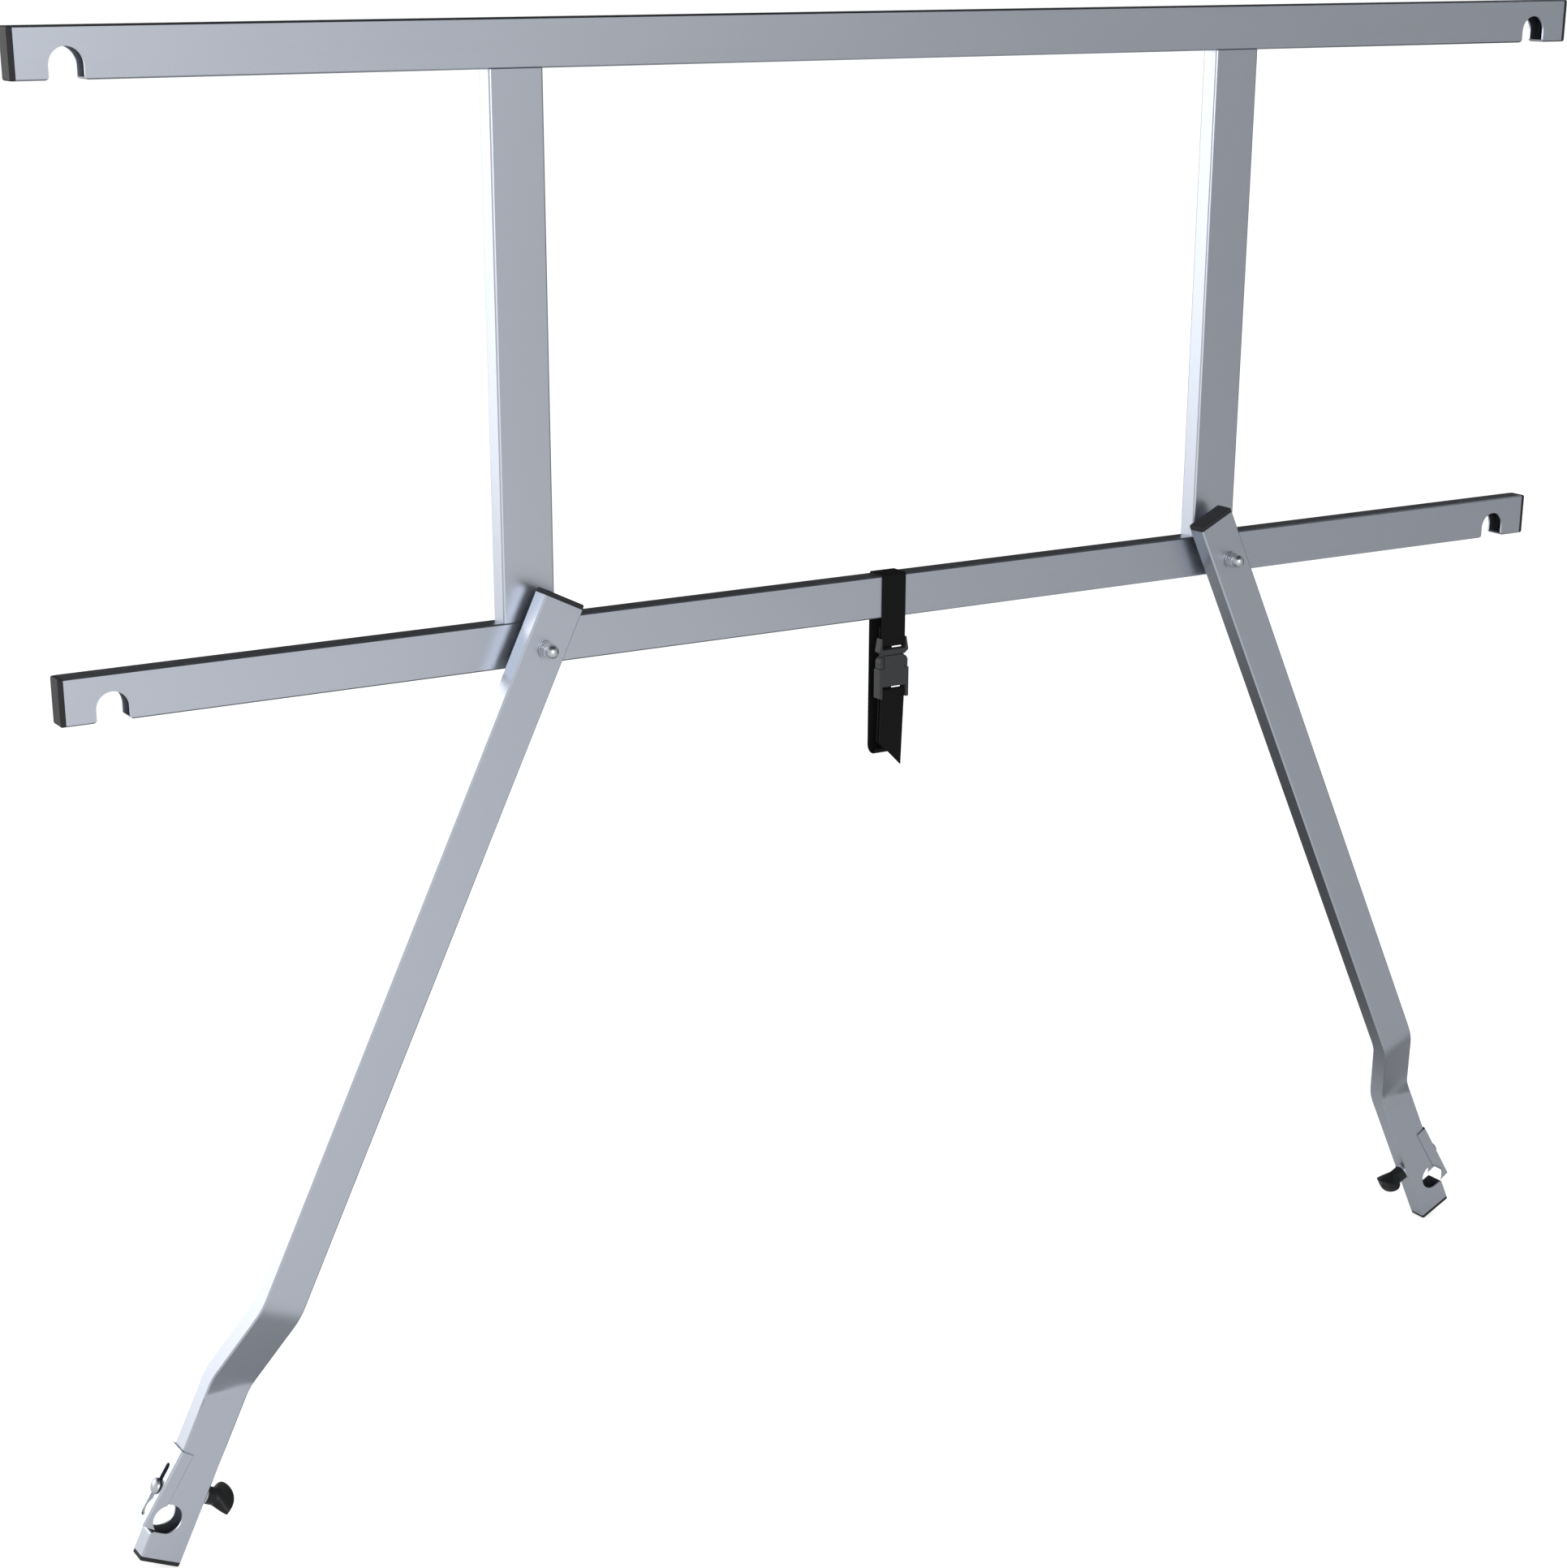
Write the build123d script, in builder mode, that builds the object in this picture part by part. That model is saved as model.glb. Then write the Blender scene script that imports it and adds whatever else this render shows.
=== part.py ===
"""Folding guard rail frame for a scaffold tower, in millimetres, +Z up.

Two box-section rails joined by two uprights hang from the tower's rungs by the notches near their
ends.  Two legs fold on bolts in the lower rail, splay out to the rungs below and grip them with
notched feet and sliding latches.  A webbing strap with a side-release buckle hangs from the lower
rail, for holding the folded legs.

The origin is midway between the seats of the top rail's two notches, in the rails' middle plane.
+X runs along the rails and +Y to the back.  Shapes of the left side are mirrored to the right,
except where a pivot's lean or a knob's turn differs.
"""

import os
from math import cos, radians, sin, tan

from build123d import *

# Box sections: outside height and depth, wall, and the cut of the outer corners.
rail_height = 40.0
rail_depth = 20.0
upright_width = 50.0
leg_width = 40.0
leg_depth = 20.0
wall = 2.0
corner_cut = 1.3

# Frame layout.
rail_length = 1600.0
rail_pitch = 500.0

# Hook notch, cut in the rail ends and in the feet for one size of rung.
hook_inset = 40.0
hook_radius = 14.25
hook_depth = 25.0
hook_mouth_radius = 3.0

# End plugs.
plug_lip = 4.5
plug_lip_edge = 1.0
plug_length = 15.0
plug_clearance = 0.2
plug_wall = 2.0

# Leg: all distances run down the leg from the pivot.
leg_splay = 26.0
leg_fold = 90.0
leg_head = 43.5
leg_first_bend = 628.5
leg_offset = 39.4
leg_bend_angle = 25.0
leg_bend_radius = 43.0
foot_reach = 137.0
foot_margin = 38.5

# Pivot stack on an M8 bolt through the lower rail.  The bolts lean a little, opposite ways, so that
# the left leg folds to the back of the right one.
pivot_lean = 1.05
bolt_radius = 4.0
bolt_hole_clearance = 0.2
running_clearance = 0.05
head_across_flats = 13.0
head_height = 5.3
head_chamfer = 0.6
washer_radius = 8.0
washer_thickness = 1.6
spacer_radius = 9.0
leg_gap = 9.5
leg_play = 0.35
head_seat_gap = 0.15
nut_hex_height = 6.5
nut_height = 15.0
nut_dome_radius = 5.8
nut_dome_slope = 3.4
nut_bore_depth = 11.5
bolt_tip_gap = 1.0

# Latch: a folded sheet that saddles the outer side of the foot.
sheet = 1.2
latch_length = 75.5
latch_flange = 13.2
latch_tilt = 7.0
latch_rise = 39.3
latch_gap = 0.3
latch_bend_radius = 2.0
latch_corner_radius = 4.0
slot_start = 16.4
slot_end_margin = 6.6
slot_clearance = 0.3

# Clamp bolt M6 and its wing knob.
clamp_setback = 25.7
clamp_radius = 3.0
clamp_hole_clearance = 0.25
clamp_head_radius = 7.4
clamp_head_height = 4.0
clamp_head_slope = 3.0
clamp_neck_length = 3.0
clamp_end = 37.0
knob_washer_radius = 9.0
knob_hub_radius = 8.3
knob_hub_length = 13.0
knob_bore = 17.5
wing_half_span = 19.5
wing_waist_width = 18.0
wing_tip_width = 6.0
wing_start = 9.0
wing_shoulder = 20.0
wing_crown = 27.0
left_knob_turn = 66.0
right_knob_turn = 98.0

# Strap of flat webbing, hung over the lower rail.  Drops are measured down from the rail's bottom.
web_width = 25.4
web_thickness = 1.4
web_gap = 0.2
web_hem = 16.0
web_corner_radius = 2.3
web_wrap_radius = 2.0
web_loop_drop = 133.4
web_loop_depth = 14.4
web_loop_radius = 6.8
web_tail_drop = 145.0
web_tail_cut = 25.0
web_tail_lean = 4.0
web_tail_radius = 40.0

# Side-release buckle: half widths from its middle line.
buckle_depth = 10.0
buckle_half = 16.3
buckle_gap = 0.3
buckle_edge_radius = 1.2
buckle_skin = 2.0
bar_depth = 2.6
bar_height = 4.0
bar_round = 1.2
ear_depth = 8.0
ear_top_half = 14.0
ear_top_drop = 19.5
ear_half = 16.3
ear_corner_drop = 32.0
male_bar_drop = 24.5
male_slot_drop = 30.5
neck_half = 12.0
neck_drop = 35.5
arm_half = 11.5
arm_width = 3.0
arm_depth = 4.4
arm_end_drop = 48.0
tongue_width = 8.0
tongue_end_drop = 58.0
pad_half = 15.4
pad_depth = 8.4
pad_top_drop = 37.0
pad_waist_half = 14.4
pad_waist_drop = 39.0
shoulder_drop = 44.0
plate_half = 10.9
plate_top_drop = 35.9
flange_drop = 48.3
plate_end_drop = 50.0
female_slot_drop = 65.5
female_bar_drop = 71.6
female_end_drop = 77.0
cavity_half = 13.0
cavity_depth = 5.2
cavity_end_drop = 61.0
cavity_spare = 1.0

# Places worked out from the sizes above.
hook_rise = hook_depth - hook_radius
top_rail_z = rail_height / 2 - hook_rise
lower_rail_z = top_rail_z - rail_pitch
lower_rail_bottom = lower_rail_z - rail_height / 2
hook_x = rail_length / 2 - hook_inset
upright_x = hook_x / 2
leg_y = -rail_depth / 2 - leg_gap - leg_depth / 2
foot_y = leg_y + leg_offset
leg_second_bend = leg_first_bend + leg_offset / tan(radians(leg_bend_angle))
foot_hook = leg_second_bend + foot_reach
leg_end = foot_hook + foot_margin
clamp_position = foot_hook - clamp_setback
latch_top = clamp_position - latch_rise
pivot = Vector(-upright_x, leg_y, lower_rail_z)
down_leg = Vector(-sin(radians(leg_splay)), 0, -cos(radians(leg_splay)))
out_of_leg = Vector(-cos(radians(leg_splay)), 0, sin(radians(leg_splay)))
to_back = Vector(0, 1, 0)
rail_front = Plane(origin=(0, -rail_depth / 2, 0), x_dir=(1, 0, 0), z_dir=(0, -1, 0))


def on_leg(along, out=0.0, y=leg_y):
    """Return the point a distance down the left leg, out from its middle line, at a depth y."""
    point = pivot + down_leg * along + out_of_leg * out
    return Vector(point.X, y, point.Z)


def hook_profile():
    """Return the notch's outline: its seat at the origin, its mouth towards -Y."""
    lead = hook_mouth_radius - hook_rise
    mouth_x = hook_radius + hook_mouth_radius
    with BuildSketch() as profile:
        with BuildLine():
            CenterArc((0, 0), hook_radius, 0, 180)
            Line((-hook_radius, 0), (-hook_radius, lead))
            CenterArc((-mouth_x, lead), hook_mouth_radius, 0, -90)
            Line((-mouth_x, -hook_rise), (-mouth_x, -hook_depth))
            Line((-mouth_x, -hook_depth), (mouth_x, -hook_depth))
            Line((mouth_x, -hook_depth), (mouth_x, -hook_rise))
            CenterArc((mouth_x, lead), hook_mouth_radius, 180, 90)
            Line((hook_radius, lead), (hook_radius, 0))
        make_face()
    return profile.sketch


def tube_outline(width, height):
    """Return the outside of a box section."""
    with BuildSketch() as outside:
        Rectangle(width, height)
        chamfer(outside.vertices(), length=corner_cut)
    return outside.sketch


def box_section(width, height):
    """Return the outline of a hollow box section."""
    with BuildSketch() as section:
        add(tube_outline(width, height))
        Rectangle(width - 2 * wall, height - 2 * wall, mode=Mode.SUBTRACT)
    return section.sketch


def rail(z):
    """Return a rail with a hook notch near each end."""
    with BuildPart() as tube:
        with BuildSketch(Plane.YZ.offset(-rail_length / 2)):
            with Locations((0, z)):
                add(box_section(rail_depth, rail_height))
        extrude(amount=rail_length)
        for x in (-hook_x, hook_x):
            seat = (x, 0, z - rail_height / 2 + hook_rise)
            with BuildSketch(Plane(origin=seat, x_dir=(1, 0, 0), z_dir=(0, -1, 0))):
                add(hook_profile())
            extrude(amount=rail_depth, both=True, mode=Mode.SUBTRACT)
    return tube


def end_plug(mouth, out, width, height):
    """Return a hollow plug in a tube mouth, with a rounded lip over the tube's end."""
    face = Plane(origin=mouth, x_dir=to_back, z_dir=out)
    inner_width = width - 2 * wall - plug_clearance
    inner_height = height - 2 * wall - plug_clearance
    with BuildPart() as plug:
        with BuildSketch(face):
            add(tube_outline(width, height))
        extrude(amount=plug_lip)
        chamfer(plug.faces().sort_by(Axis(mouth, out))[-1].edges(), length=plug_lip_edge)
        with BuildSketch(face):
            Rectangle(inner_width, inner_height)
            Rectangle(inner_width - 2 * plug_wall, inner_height - 2 * plug_wall, mode=Mode.SUBTRACT)
        extrude(amount=-plug_length)
    return plug


def ring(plane, outer, inner, length):
    """Return a plain spacer or washer that starts on a plane."""
    with BuildPart() as band:
        with BuildSketch(plane):
            Circle(outer)
            Circle(inner, mode=Mode.SUBTRACT)
        extrude(amount=length)
    return band


def cut_off(piece, plane):
    """Return the part of a piece that lies in front of a plane."""
    with BuildPart() as kept:
        add(piece.part)
        split(bisect_by=plane, keep=Keep.TOP)
    return kept


def mirrored(piece):
    """Return the right-hand twin of a left-hand piece."""
    with BuildPart() as twin:
        mirror(piece.part, about=Plane.YZ)
    return twin


def pivot_plane(side, y):
    """Return the plane across a pivot's leaning axis at a depth y, facing the front.

    side is -1 on the left and +1 on the right.
    """
    swing_middle = radians(leg_fold / 2 - leg_splay)
    lean = tan(radians(pivot_lean))
    front = Vector(lean * cos(swing_middle), -1, -side * lean * sin(swing_middle)).normalized()
    middle = Vector(side * upright_x, leg_y, lower_rail_z)
    return Plane(origin=middle + front * ((y - leg_y) / front.Y), x_dir=(1, 0, 0), z_dir=front)


def pivot_bolt(plane, length):
    """Return a hexagon bolt whose head sits behind a plane."""
    with BuildPart() as bolt:
        with BuildSketch(plane):
            RegularPolygon(head_across_flats / 2, 6, major_radius=False)
        extrude(amount=-head_height)
        chamfer(bolt.faces().sort_by(Axis.Y)[-1].edges(), length=head_chamfer)
        with BuildSketch(plane):
            Circle(bolt_radius)
        extrude(amount=length)
    return bolt


def cap_nut(plane):
    """Return a domed nut that starts on a plane."""
    with BuildPart() as nut:
        with BuildSketch(plane):
            RegularPolygon(head_across_flats / 2, 6, major_radius=False)
        extrude(amount=nut_hex_height)
        chamfer(nut.faces().sort_by(Axis.Y)[0].edges(), length=head_chamfer)
        with BuildSketch(plane):
            Circle(nut_dome_radius)
        extrude(amount=nut_height)
        chamfer(nut.faces().sort_by(Axis.Y)[0].edges(), length=nut_dome_slope)
        with BuildSketch(plane):
            Circle(bolt_radius + running_clearance)
        extrude(amount=nut_bore_depth, mode=Mode.SUBTRACT)
    return nut


pieces = {}

# ---------------------------------------------------------------- fixed frame
pieces["top_rail"] = rail(top_rail_z)

with BuildPart() as bottom_rail:
    add(rail(lower_rail_z).part)
    for side in (-1, 1):
        with BuildSketch(pivot_plane(side, 0)):
            Circle(bolt_radius + bolt_hole_clearance)
        extrude(amount=rail_depth, both=True, mode=Mode.SUBTRACT)
pieces["bottom_rail"] = bottom_rail

with BuildPart() as upright:
    with BuildSketch(Plane.XY.offset(lower_rail_z + rail_height / 2)):
        with Locations((-upright_x, 0)):
            add(box_section(upright_width, rail_depth))
    extrude(amount=rail_pitch - rail_height)
pieces["left_upright"] = upright

for name, z in (("left_top_rail_plug", top_rail_z), ("left_bottom_rail_plug", lower_rail_z)):
    pieces[name] = end_plug((-rail_length / 2, 0, z), (-1, 0, 0), rail_depth, rail_height)

# ---------------------------------------------------------------- leg
leg_lie = Plane(origin=on_leg(0), x_dir=down_leg, z_dir=down_leg.cross(to_back))
foot_seat = on_leg(foot_hook, leg_width / 2 - hook_rise, foot_y)
with BuildPart() as leg_blank:
    with BuildLine(leg_lie):
        FilletPolyline(
            (-leg_head, 0),
            (leg_first_bend, 0),
            (leg_second_bend, leg_offset),
            (leg_end, leg_offset),
            radius=leg_bend_radius,
        )
    with BuildSketch(Plane(origin=on_leg(-leg_head), x_dir=to_back, z_dir=down_leg)):
        add(box_section(leg_depth, leg_width))
    sweep()
    with BuildSketch(Plane(origin=foot_seat, x_dir=down_leg, z_dir=out_of_leg.cross(down_leg))):
        add(hook_profile())
    extrude(amount=leg_depth, both=True, mode=Mode.SUBTRACT)
    with BuildSketch(Plane(origin=on_leg(clamp_position, 0, foot_y), x_dir=to_back, z_dir=out_of_leg)):
        Circle(clamp_radius + clamp_hole_clearance)
    extrude(amount=leg_width, both=True, mode=Mode.SUBTRACT)

pieces["left_leg_plug"] = end_plug(on_leg(-leg_head), -down_leg, leg_depth, leg_width)
pieces["left_foot_plug"] = end_plug(on_leg(leg_end, 0, foot_y), down_leg, leg_depth, leg_width)

# ---------------------------------------------------------------- latch
tilt = radians(latch_tilt)
down_latch = down_leg * cos(tilt) + out_of_leg * sin(tilt)
out_of_latch = out_of_leg * cos(tilt) - down_leg * sin(tilt)
latch_origin = on_leg(latch_top, leg_width / 2 + latch_gap, foot_y)
latch_inside = leg_depth + 2 * latch_gap
latch_outside = latch_inside + 2 * sheet
slot_length = latch_length - slot_start - slot_end_margin
with BuildPart() as latch:
    channel_plane = Plane(origin=latch_origin, x_dir=to_back, z_dir=to_back.cross(out_of_latch))
    with BuildSketch(channel_plane) as channel:
        with Locations((0, sheet - latch_flange / 2)):
            Rectangle(latch_outside, latch_flange)
        outer_corners = channel.vertices().group_by(Axis(latch_origin, out_of_latch))[-1]
        fillet(outer_corners, radius=latch_bend_radius)
        with Locations((0, (sheet - latch_flange) / 2)):
            Rectangle(latch_inside, latch_flange - sheet, mode=Mode.SUBTRACT)
    extrude(dir=down_latch, amount=latch_length)
    with BuildSketch(Plane(origin=latch_origin, x_dir=down_latch, z_dir=out_of_latch)):
        with Locations((slot_start + slot_length / 2, 0)):
            SlotOverall(slot_length, 2 * (clamp_radius + slot_clearance))
    extrude(amount=sheet, mode=Mode.SUBTRACT)
    with BuildSketch(Plane(origin=foot_seat, x_dir=(1, 0, 0), z_dir=(0, -1, 0))):
        Circle(hook_radius)
    extrude(amount=latch_outside, both=True, mode=Mode.SUBTRACT)
    free_corners = latch.edges().filter_by(Axis.Y).group_by(Axis(latch_origin, down_latch))[0]
    fillet(free_corners.group_by(Axis(latch_origin, out_of_latch))[0], radius=latch_corner_radius)
pieces["left_latch"] = latch


# ---------------------------------------------------------------- clamp bolt and wing knob
def across_clamp(out):
    """Return a plane across the left clamp bolt that faces out of the leg."""
    return Plane(origin=on_leg(clamp_position, out, foot_y), x_dir=to_back, z_dir=out_of_leg)


web_rise = (clamp_position + clamp_head_radius - latch_top) * tan(tilt)
head_seat = leg_width / 2 + latch_gap + web_rise + sheet / cos(tilt) + running_clearance
with BuildPart() as clamp_bolt:
    with BuildSketch(across_clamp(head_seat)):
        Circle(clamp_head_radius)
    extrude(amount=clamp_head_height)
    crown = clamp_bolt.faces().sort_by(Axis(on_leg(0), out_of_leg))[-1]
    chamfer(crown.edges(), length=clamp_head_slope)
    with BuildSketch(across_clamp(head_seat)):
        Rectangle(2 * clamp_radius, 2 * clamp_radius)
    extrude(amount=-clamp_neck_length)
    with BuildSketch(across_clamp(head_seat)):
        Circle(clamp_radius)
    extrude(amount=-head_seat - clamp_end)
pieces["left_clamp_bolt"] = clamp_bolt

washer_face = -leg_width / 2 - washer_thickness
knob_seat = washer_face - running_clearance
hole_radius = clamp_radius + clamp_hole_clearance
knob_washer = ring(across_clamp(washer_face), knob_washer_radius, hole_radius, washer_thickness)
pieces["left_knob_washer"] = knob_washer


def wing_knob(turn):
    """Return the left knob with its wings turned an angle from the leg towards the front."""
    along_wings = down_leg * cos(radians(turn)) - to_back * sin(radians(turn))
    seat = across_clamp(knob_seat)
    side_plane = Plane(origin=seat.origin, x_dir=along_wings, z_dir=out_of_leg.cross(along_wings))
    crown_plane = Plane(origin=seat.origin, x_dir=along_wings, z_dir=-out_of_leg)
    waist = wing_waist_width / 2
    tip = wing_tip_width / 2
    with BuildPart() as knob:
        with BuildSketch(side_plane):
            with BuildLine():
                Line((knob_hub_radius, wing_start), (wing_half_span, wing_shoulder))
                ThreePointArc(
                    (wing_half_span, wing_shoulder),
                    (0, wing_crown),
                    (-wing_half_span, wing_shoulder),
                )
                Line((-wing_half_span, wing_shoulder), (-knob_hub_radius, wing_start))
                Line((-knob_hub_radius, wing_start), (knob_hub_radius, wing_start))
            make_face()
        extrude(amount=wing_waist_width, both=True)
        with BuildSketch(crown_plane):
            with BuildLine():
                ThreePointArc((wing_half_span, tip), (0, waist), (-wing_half_span, tip))
                Line((-wing_half_span, tip), (-wing_half_span, -tip))
                ThreePointArc((-wing_half_span, -tip), (0, -waist), (wing_half_span, -tip))
                Line((wing_half_span, -tip), (wing_half_span, tip))
            make_face()
        extrude(amount=2 * wing_crown, mode=Mode.INTERSECT)
        with BuildSketch(seat):
            Circle(knob_hub_radius)
        extrude(amount=-knob_hub_length)
        with BuildSketch(seat):
            Circle(clamp_radius + running_clearance)
        extrude(amount=-knob_bore, mode=Mode.SUBTRACT)
    return knob


# ---------------------------------------------------------------- twins of the mirrored pieces
for name in list(pieces):
    if name.startswith("left_"):
        pieces[name.replace("left_", "right_")] = mirrored(pieces[name])
pieces["left_knob"] = wing_knob(left_knob_turn)
pieces["right_knob"] = mirrored(wing_knob(right_knob_turn))

# ---------------------------------------------------------------- pivots, back to front
washer_hole = bolt_radius + bolt_hole_clearance
head_face = rail_depth / 2 + head_seat_gap
front_washer_face = leg_y - leg_depth / 2 - leg_play
nut_face = front_washer_face - washer_thickness
bolt_length = head_face - nut_face + nut_bore_depth - bolt_tip_gap
for side, hand, leg_shape in ((-1, "left", leg_blank), (1, "right", mirrored(leg_blank))):
    behind_rail = pivot_plane(side, head_face)
    in_rail = pivot_plane(side, 0)
    spacer = ring(in_rail, spacer_radius, washer_hole, rail_depth / 2 + leg_gap - leg_play)
    pieces[f"{hand}_pivot_bolt"] = pivot_bolt(behind_rail, bolt_length)
    pieces[f"{hand}_pivot_spacer"] = cut_off(spacer, rail_front)
    pieces[f"{hand}_front_washer"] = ring(
        pivot_plane(side, front_washer_face), washer_radius, washer_hole, washer_thickness
    )
    pieces[f"{hand}_cap_nut"] = cap_nut(pivot_plane(side, nut_face))
    with BuildPart() as leg_tube:
        add(leg_shape.part)
        with BuildSketch(pivot_plane(side, leg_y)):
            Circle(bolt_radius + running_clearance)
        extrude(amount=leg_depth, both=True, mode=Mode.SUBTRACT)
    pieces[f"{hand}_leg_tube"] = leg_tube

# ---------------------------------------------------------------- strap, seen along +X
web_front = -rail_depth / 2 - web_gap - web_thickness / 2
web_back = rail_depth / 2 + web_gap + web_thickness / 2
web_top = lower_rail_z + rail_height / 2 + web_gap + web_thickness / 2
buckle_front = web_front - web_thickness / 2 - buckle_skin
buckle_y = buckle_front + buckle_depth / 2


def drop(distance):
    """Return the height a distance below the lower rail."""
    return lower_rail_bottom - distance


bar_y = web_front + web_thickness / 2 + web_gap / 2 + bar_depth / 2
wrap_y = bar_y + bar_depth / 2 + web_gap / 2 + web_thickness / 2
wrap_rise = (bar_height + web_gap + web_thickness) / 2
male_bar_z = drop(male_bar_drop)
female_bar_z = drop(female_bar_drop)
loop_z = drop(web_loop_drop - web_thickness / 2)
loop_y = web_back - web_loop_depth
strap_start = (wrap_y, male_bar_z + web_hem)
with BuildPart() as strap:
    with BuildLine(Plane.YZ):
        FilletPolyline(
            strap_start,
            (wrap_y, male_bar_z - wrap_rise),
            (web_front, male_bar_z - wrap_rise),
            (web_front, web_top),
            (web_back, web_top),
            (web_back, loop_z),
            (loop_y, loop_z),
            (wrap_y, female_bar_z + wrap_rise),
            (web_front, female_bar_z + wrap_rise),
            (web_front, female_bar_z - bar_height),
            (web_front + web_tail_lean, drop(web_tail_drop)),
            radius=[
                web_wrap_radius,
                web_wrap_radius,
                web_corner_radius,
                web_corner_radius,
                web_loop_radius,
                web_loop_radius,
                web_wrap_radius,
                web_wrap_radius,
                web_tail_radius,
            ],
        )
    with BuildSketch(Plane(origin=(0, *strap_start), x_dir=(1, 0, 0), z_dir=(0, 0, -1))):
        Rectangle(web_width, web_thickness)
    sweep()
    tail_back = (web_front + web_tail_lean + loop_y) / 2
    tail_tip = (web_width / 2, tail_back, drop(web_tail_drop))
    with BuildSketch(Plane(origin=tail_tip, x_dir=(-1, 0, 0), z_dir=(0, 1, 0))):
        with BuildLine():
            Polyline(
                (0, 0),
                (web_width, web_tail_cut),
                (web_width, -web_width),
                (0, -web_width),
                close=True,
            )
        make_face()
    extrude(amount=-rail_depth, mode=Mode.SUBTRACT)
pieces["strap"] = strap

# ---------------------------------------------------------------- side-release buckle
buckle_plane = Plane(origin=(0, buckle_y, lower_rail_bottom), x_dir=(1, 0, 0), z_dir=(0, -1, 0))


def half_outline(points):
    """Return a symmetrical outline from its right half, given as (half width, drop) pairs."""
    right = [(x, -distance) for x, distance in points]
    left = [(-x, z) for x, z in reversed(right)]
    with BuildSketch() as outline:
        with BuildLine():
            Polyline(*right, *left, close=True)
        make_face()
    return outline.sketch


frame_half = web_width / 2 + buckle_gap
with BuildPart() as buckle_male:
    with BuildSketch(buckle_plane):
        ear = [(ear_top_half, ear_top_drop), (ear_half, ear_corner_drop), (neck_half, neck_drop)]
        add(half_outline(ear))
        add(half_outline([(frame_half, 0), (frame_half, male_slot_drop)]), mode=Mode.SUBTRACT)
    extrude(amount=ear_depth / 2, both=True)
    with BuildSketch(buckle_plane):
        with Locations((0, -(neck_drop + arm_end_drop) / 2)):
            with GridLocations(2 * arm_half - arm_width, 1, 2, 1):
                Rectangle(arm_width, arm_end_drop - neck_drop + buckle_gap)
        with Locations((0, -(neck_drop + tongue_end_drop) / 2)):
            Rectangle(tongue_width, tongue_end_drop - neck_drop + buckle_gap)
    extrude(amount=arm_depth / 2, both=True)
    with BuildSketch(buckle_plane):
        with BuildLine():
            shoulder = Line((arm_half - buckle_gap, -arm_end_drop), (pad_half, -arm_end_drop))
            Line(shoulder @ 1, (pad_half, -shoulder_drop))
            ThreePointArc(
                (pad_half, -shoulder_drop),
                (pad_waist_half, -pad_waist_drop),
                (neck_half, -pad_top_drop),
            )
            Line((neck_half, -pad_top_drop), (arm_half - buckle_gap, -pad_top_drop))
            Line((arm_half - buckle_gap, -pad_top_drop), (arm_half - buckle_gap, -arm_end_drop))
        make_face()
        mirror(about=Plane.YZ)
    extrude(amount=pad_depth / 2, both=True)
    with BuildSketch(Plane(origin=(0, bar_y, male_bar_z), x_dir=(0, 1, 0), z_dir=(1, 0, 0))):
        RectangleRounded(bar_depth, bar_height, bar_round)
    extrude(amount=frame_half + buckle_gap, both=True)
pieces["buckle_male"] = buckle_male

with BuildPart() as buckle_female:
    with BuildSketch(buckle_plane):
        add(half_outline([(plate_half, plate_top_drop), (plate_half, plate_end_drop)]))
        add(half_outline([(buckle_half, flange_drop), (buckle_half, female_end_drop)]))
        slot = half_outline([(frame_half, female_slot_drop), (frame_half, female_end_drop)])
        add(slot, mode=Mode.SUBTRACT)
    extrude(amount=buckle_depth / 2, both=True)
    corners = buckle_female.edges().filter_by(Axis.Y)
    fillet(corners.group_by(Axis.X)[0] + corners.group_by(Axis.X)[-1], radius=buckle_edge_radius)
    with BuildSketch(buckle_plane):
        mouth_half = plate_half + cavity_spare
        add(half_outline([(mouth_half, plate_top_drop), (mouth_half, flange_drop)]))
        add(half_outline([(cavity_half, flange_drop - cavity_spare), (cavity_half, cavity_end_drop)]))
    extrude(amount=cavity_depth / 2, both=True, mode=Mode.SUBTRACT)
    with BuildSketch(Plane(origin=(0, bar_y, female_bar_z), x_dir=(0, 1, 0), z_dir=(1, 0, 0))):
        RectangleRounded(bar_depth, bar_height, bar_round)
    extrude(amount=frame_half + buckle_gap, both=True)
pieces["buckle_female"] = buckle_female

os.makedirs("parts", exist_ok=True)
for name, piece in pieces.items():
    piece.part.label = name
    export_step(piece.part, f"parts/{name}.step")
print(len(pieces), "parts")
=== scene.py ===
"""Dress for a folding guard rail frame: tube finishes, hardware, webbing, buckle, knobs and the stage.

Laid out as an add-on and run as a script. Lengths are in metres, +Z up, and +Y is the back.
"""

import math

import bpy
from mathutils import Matrix, Vector


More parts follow.
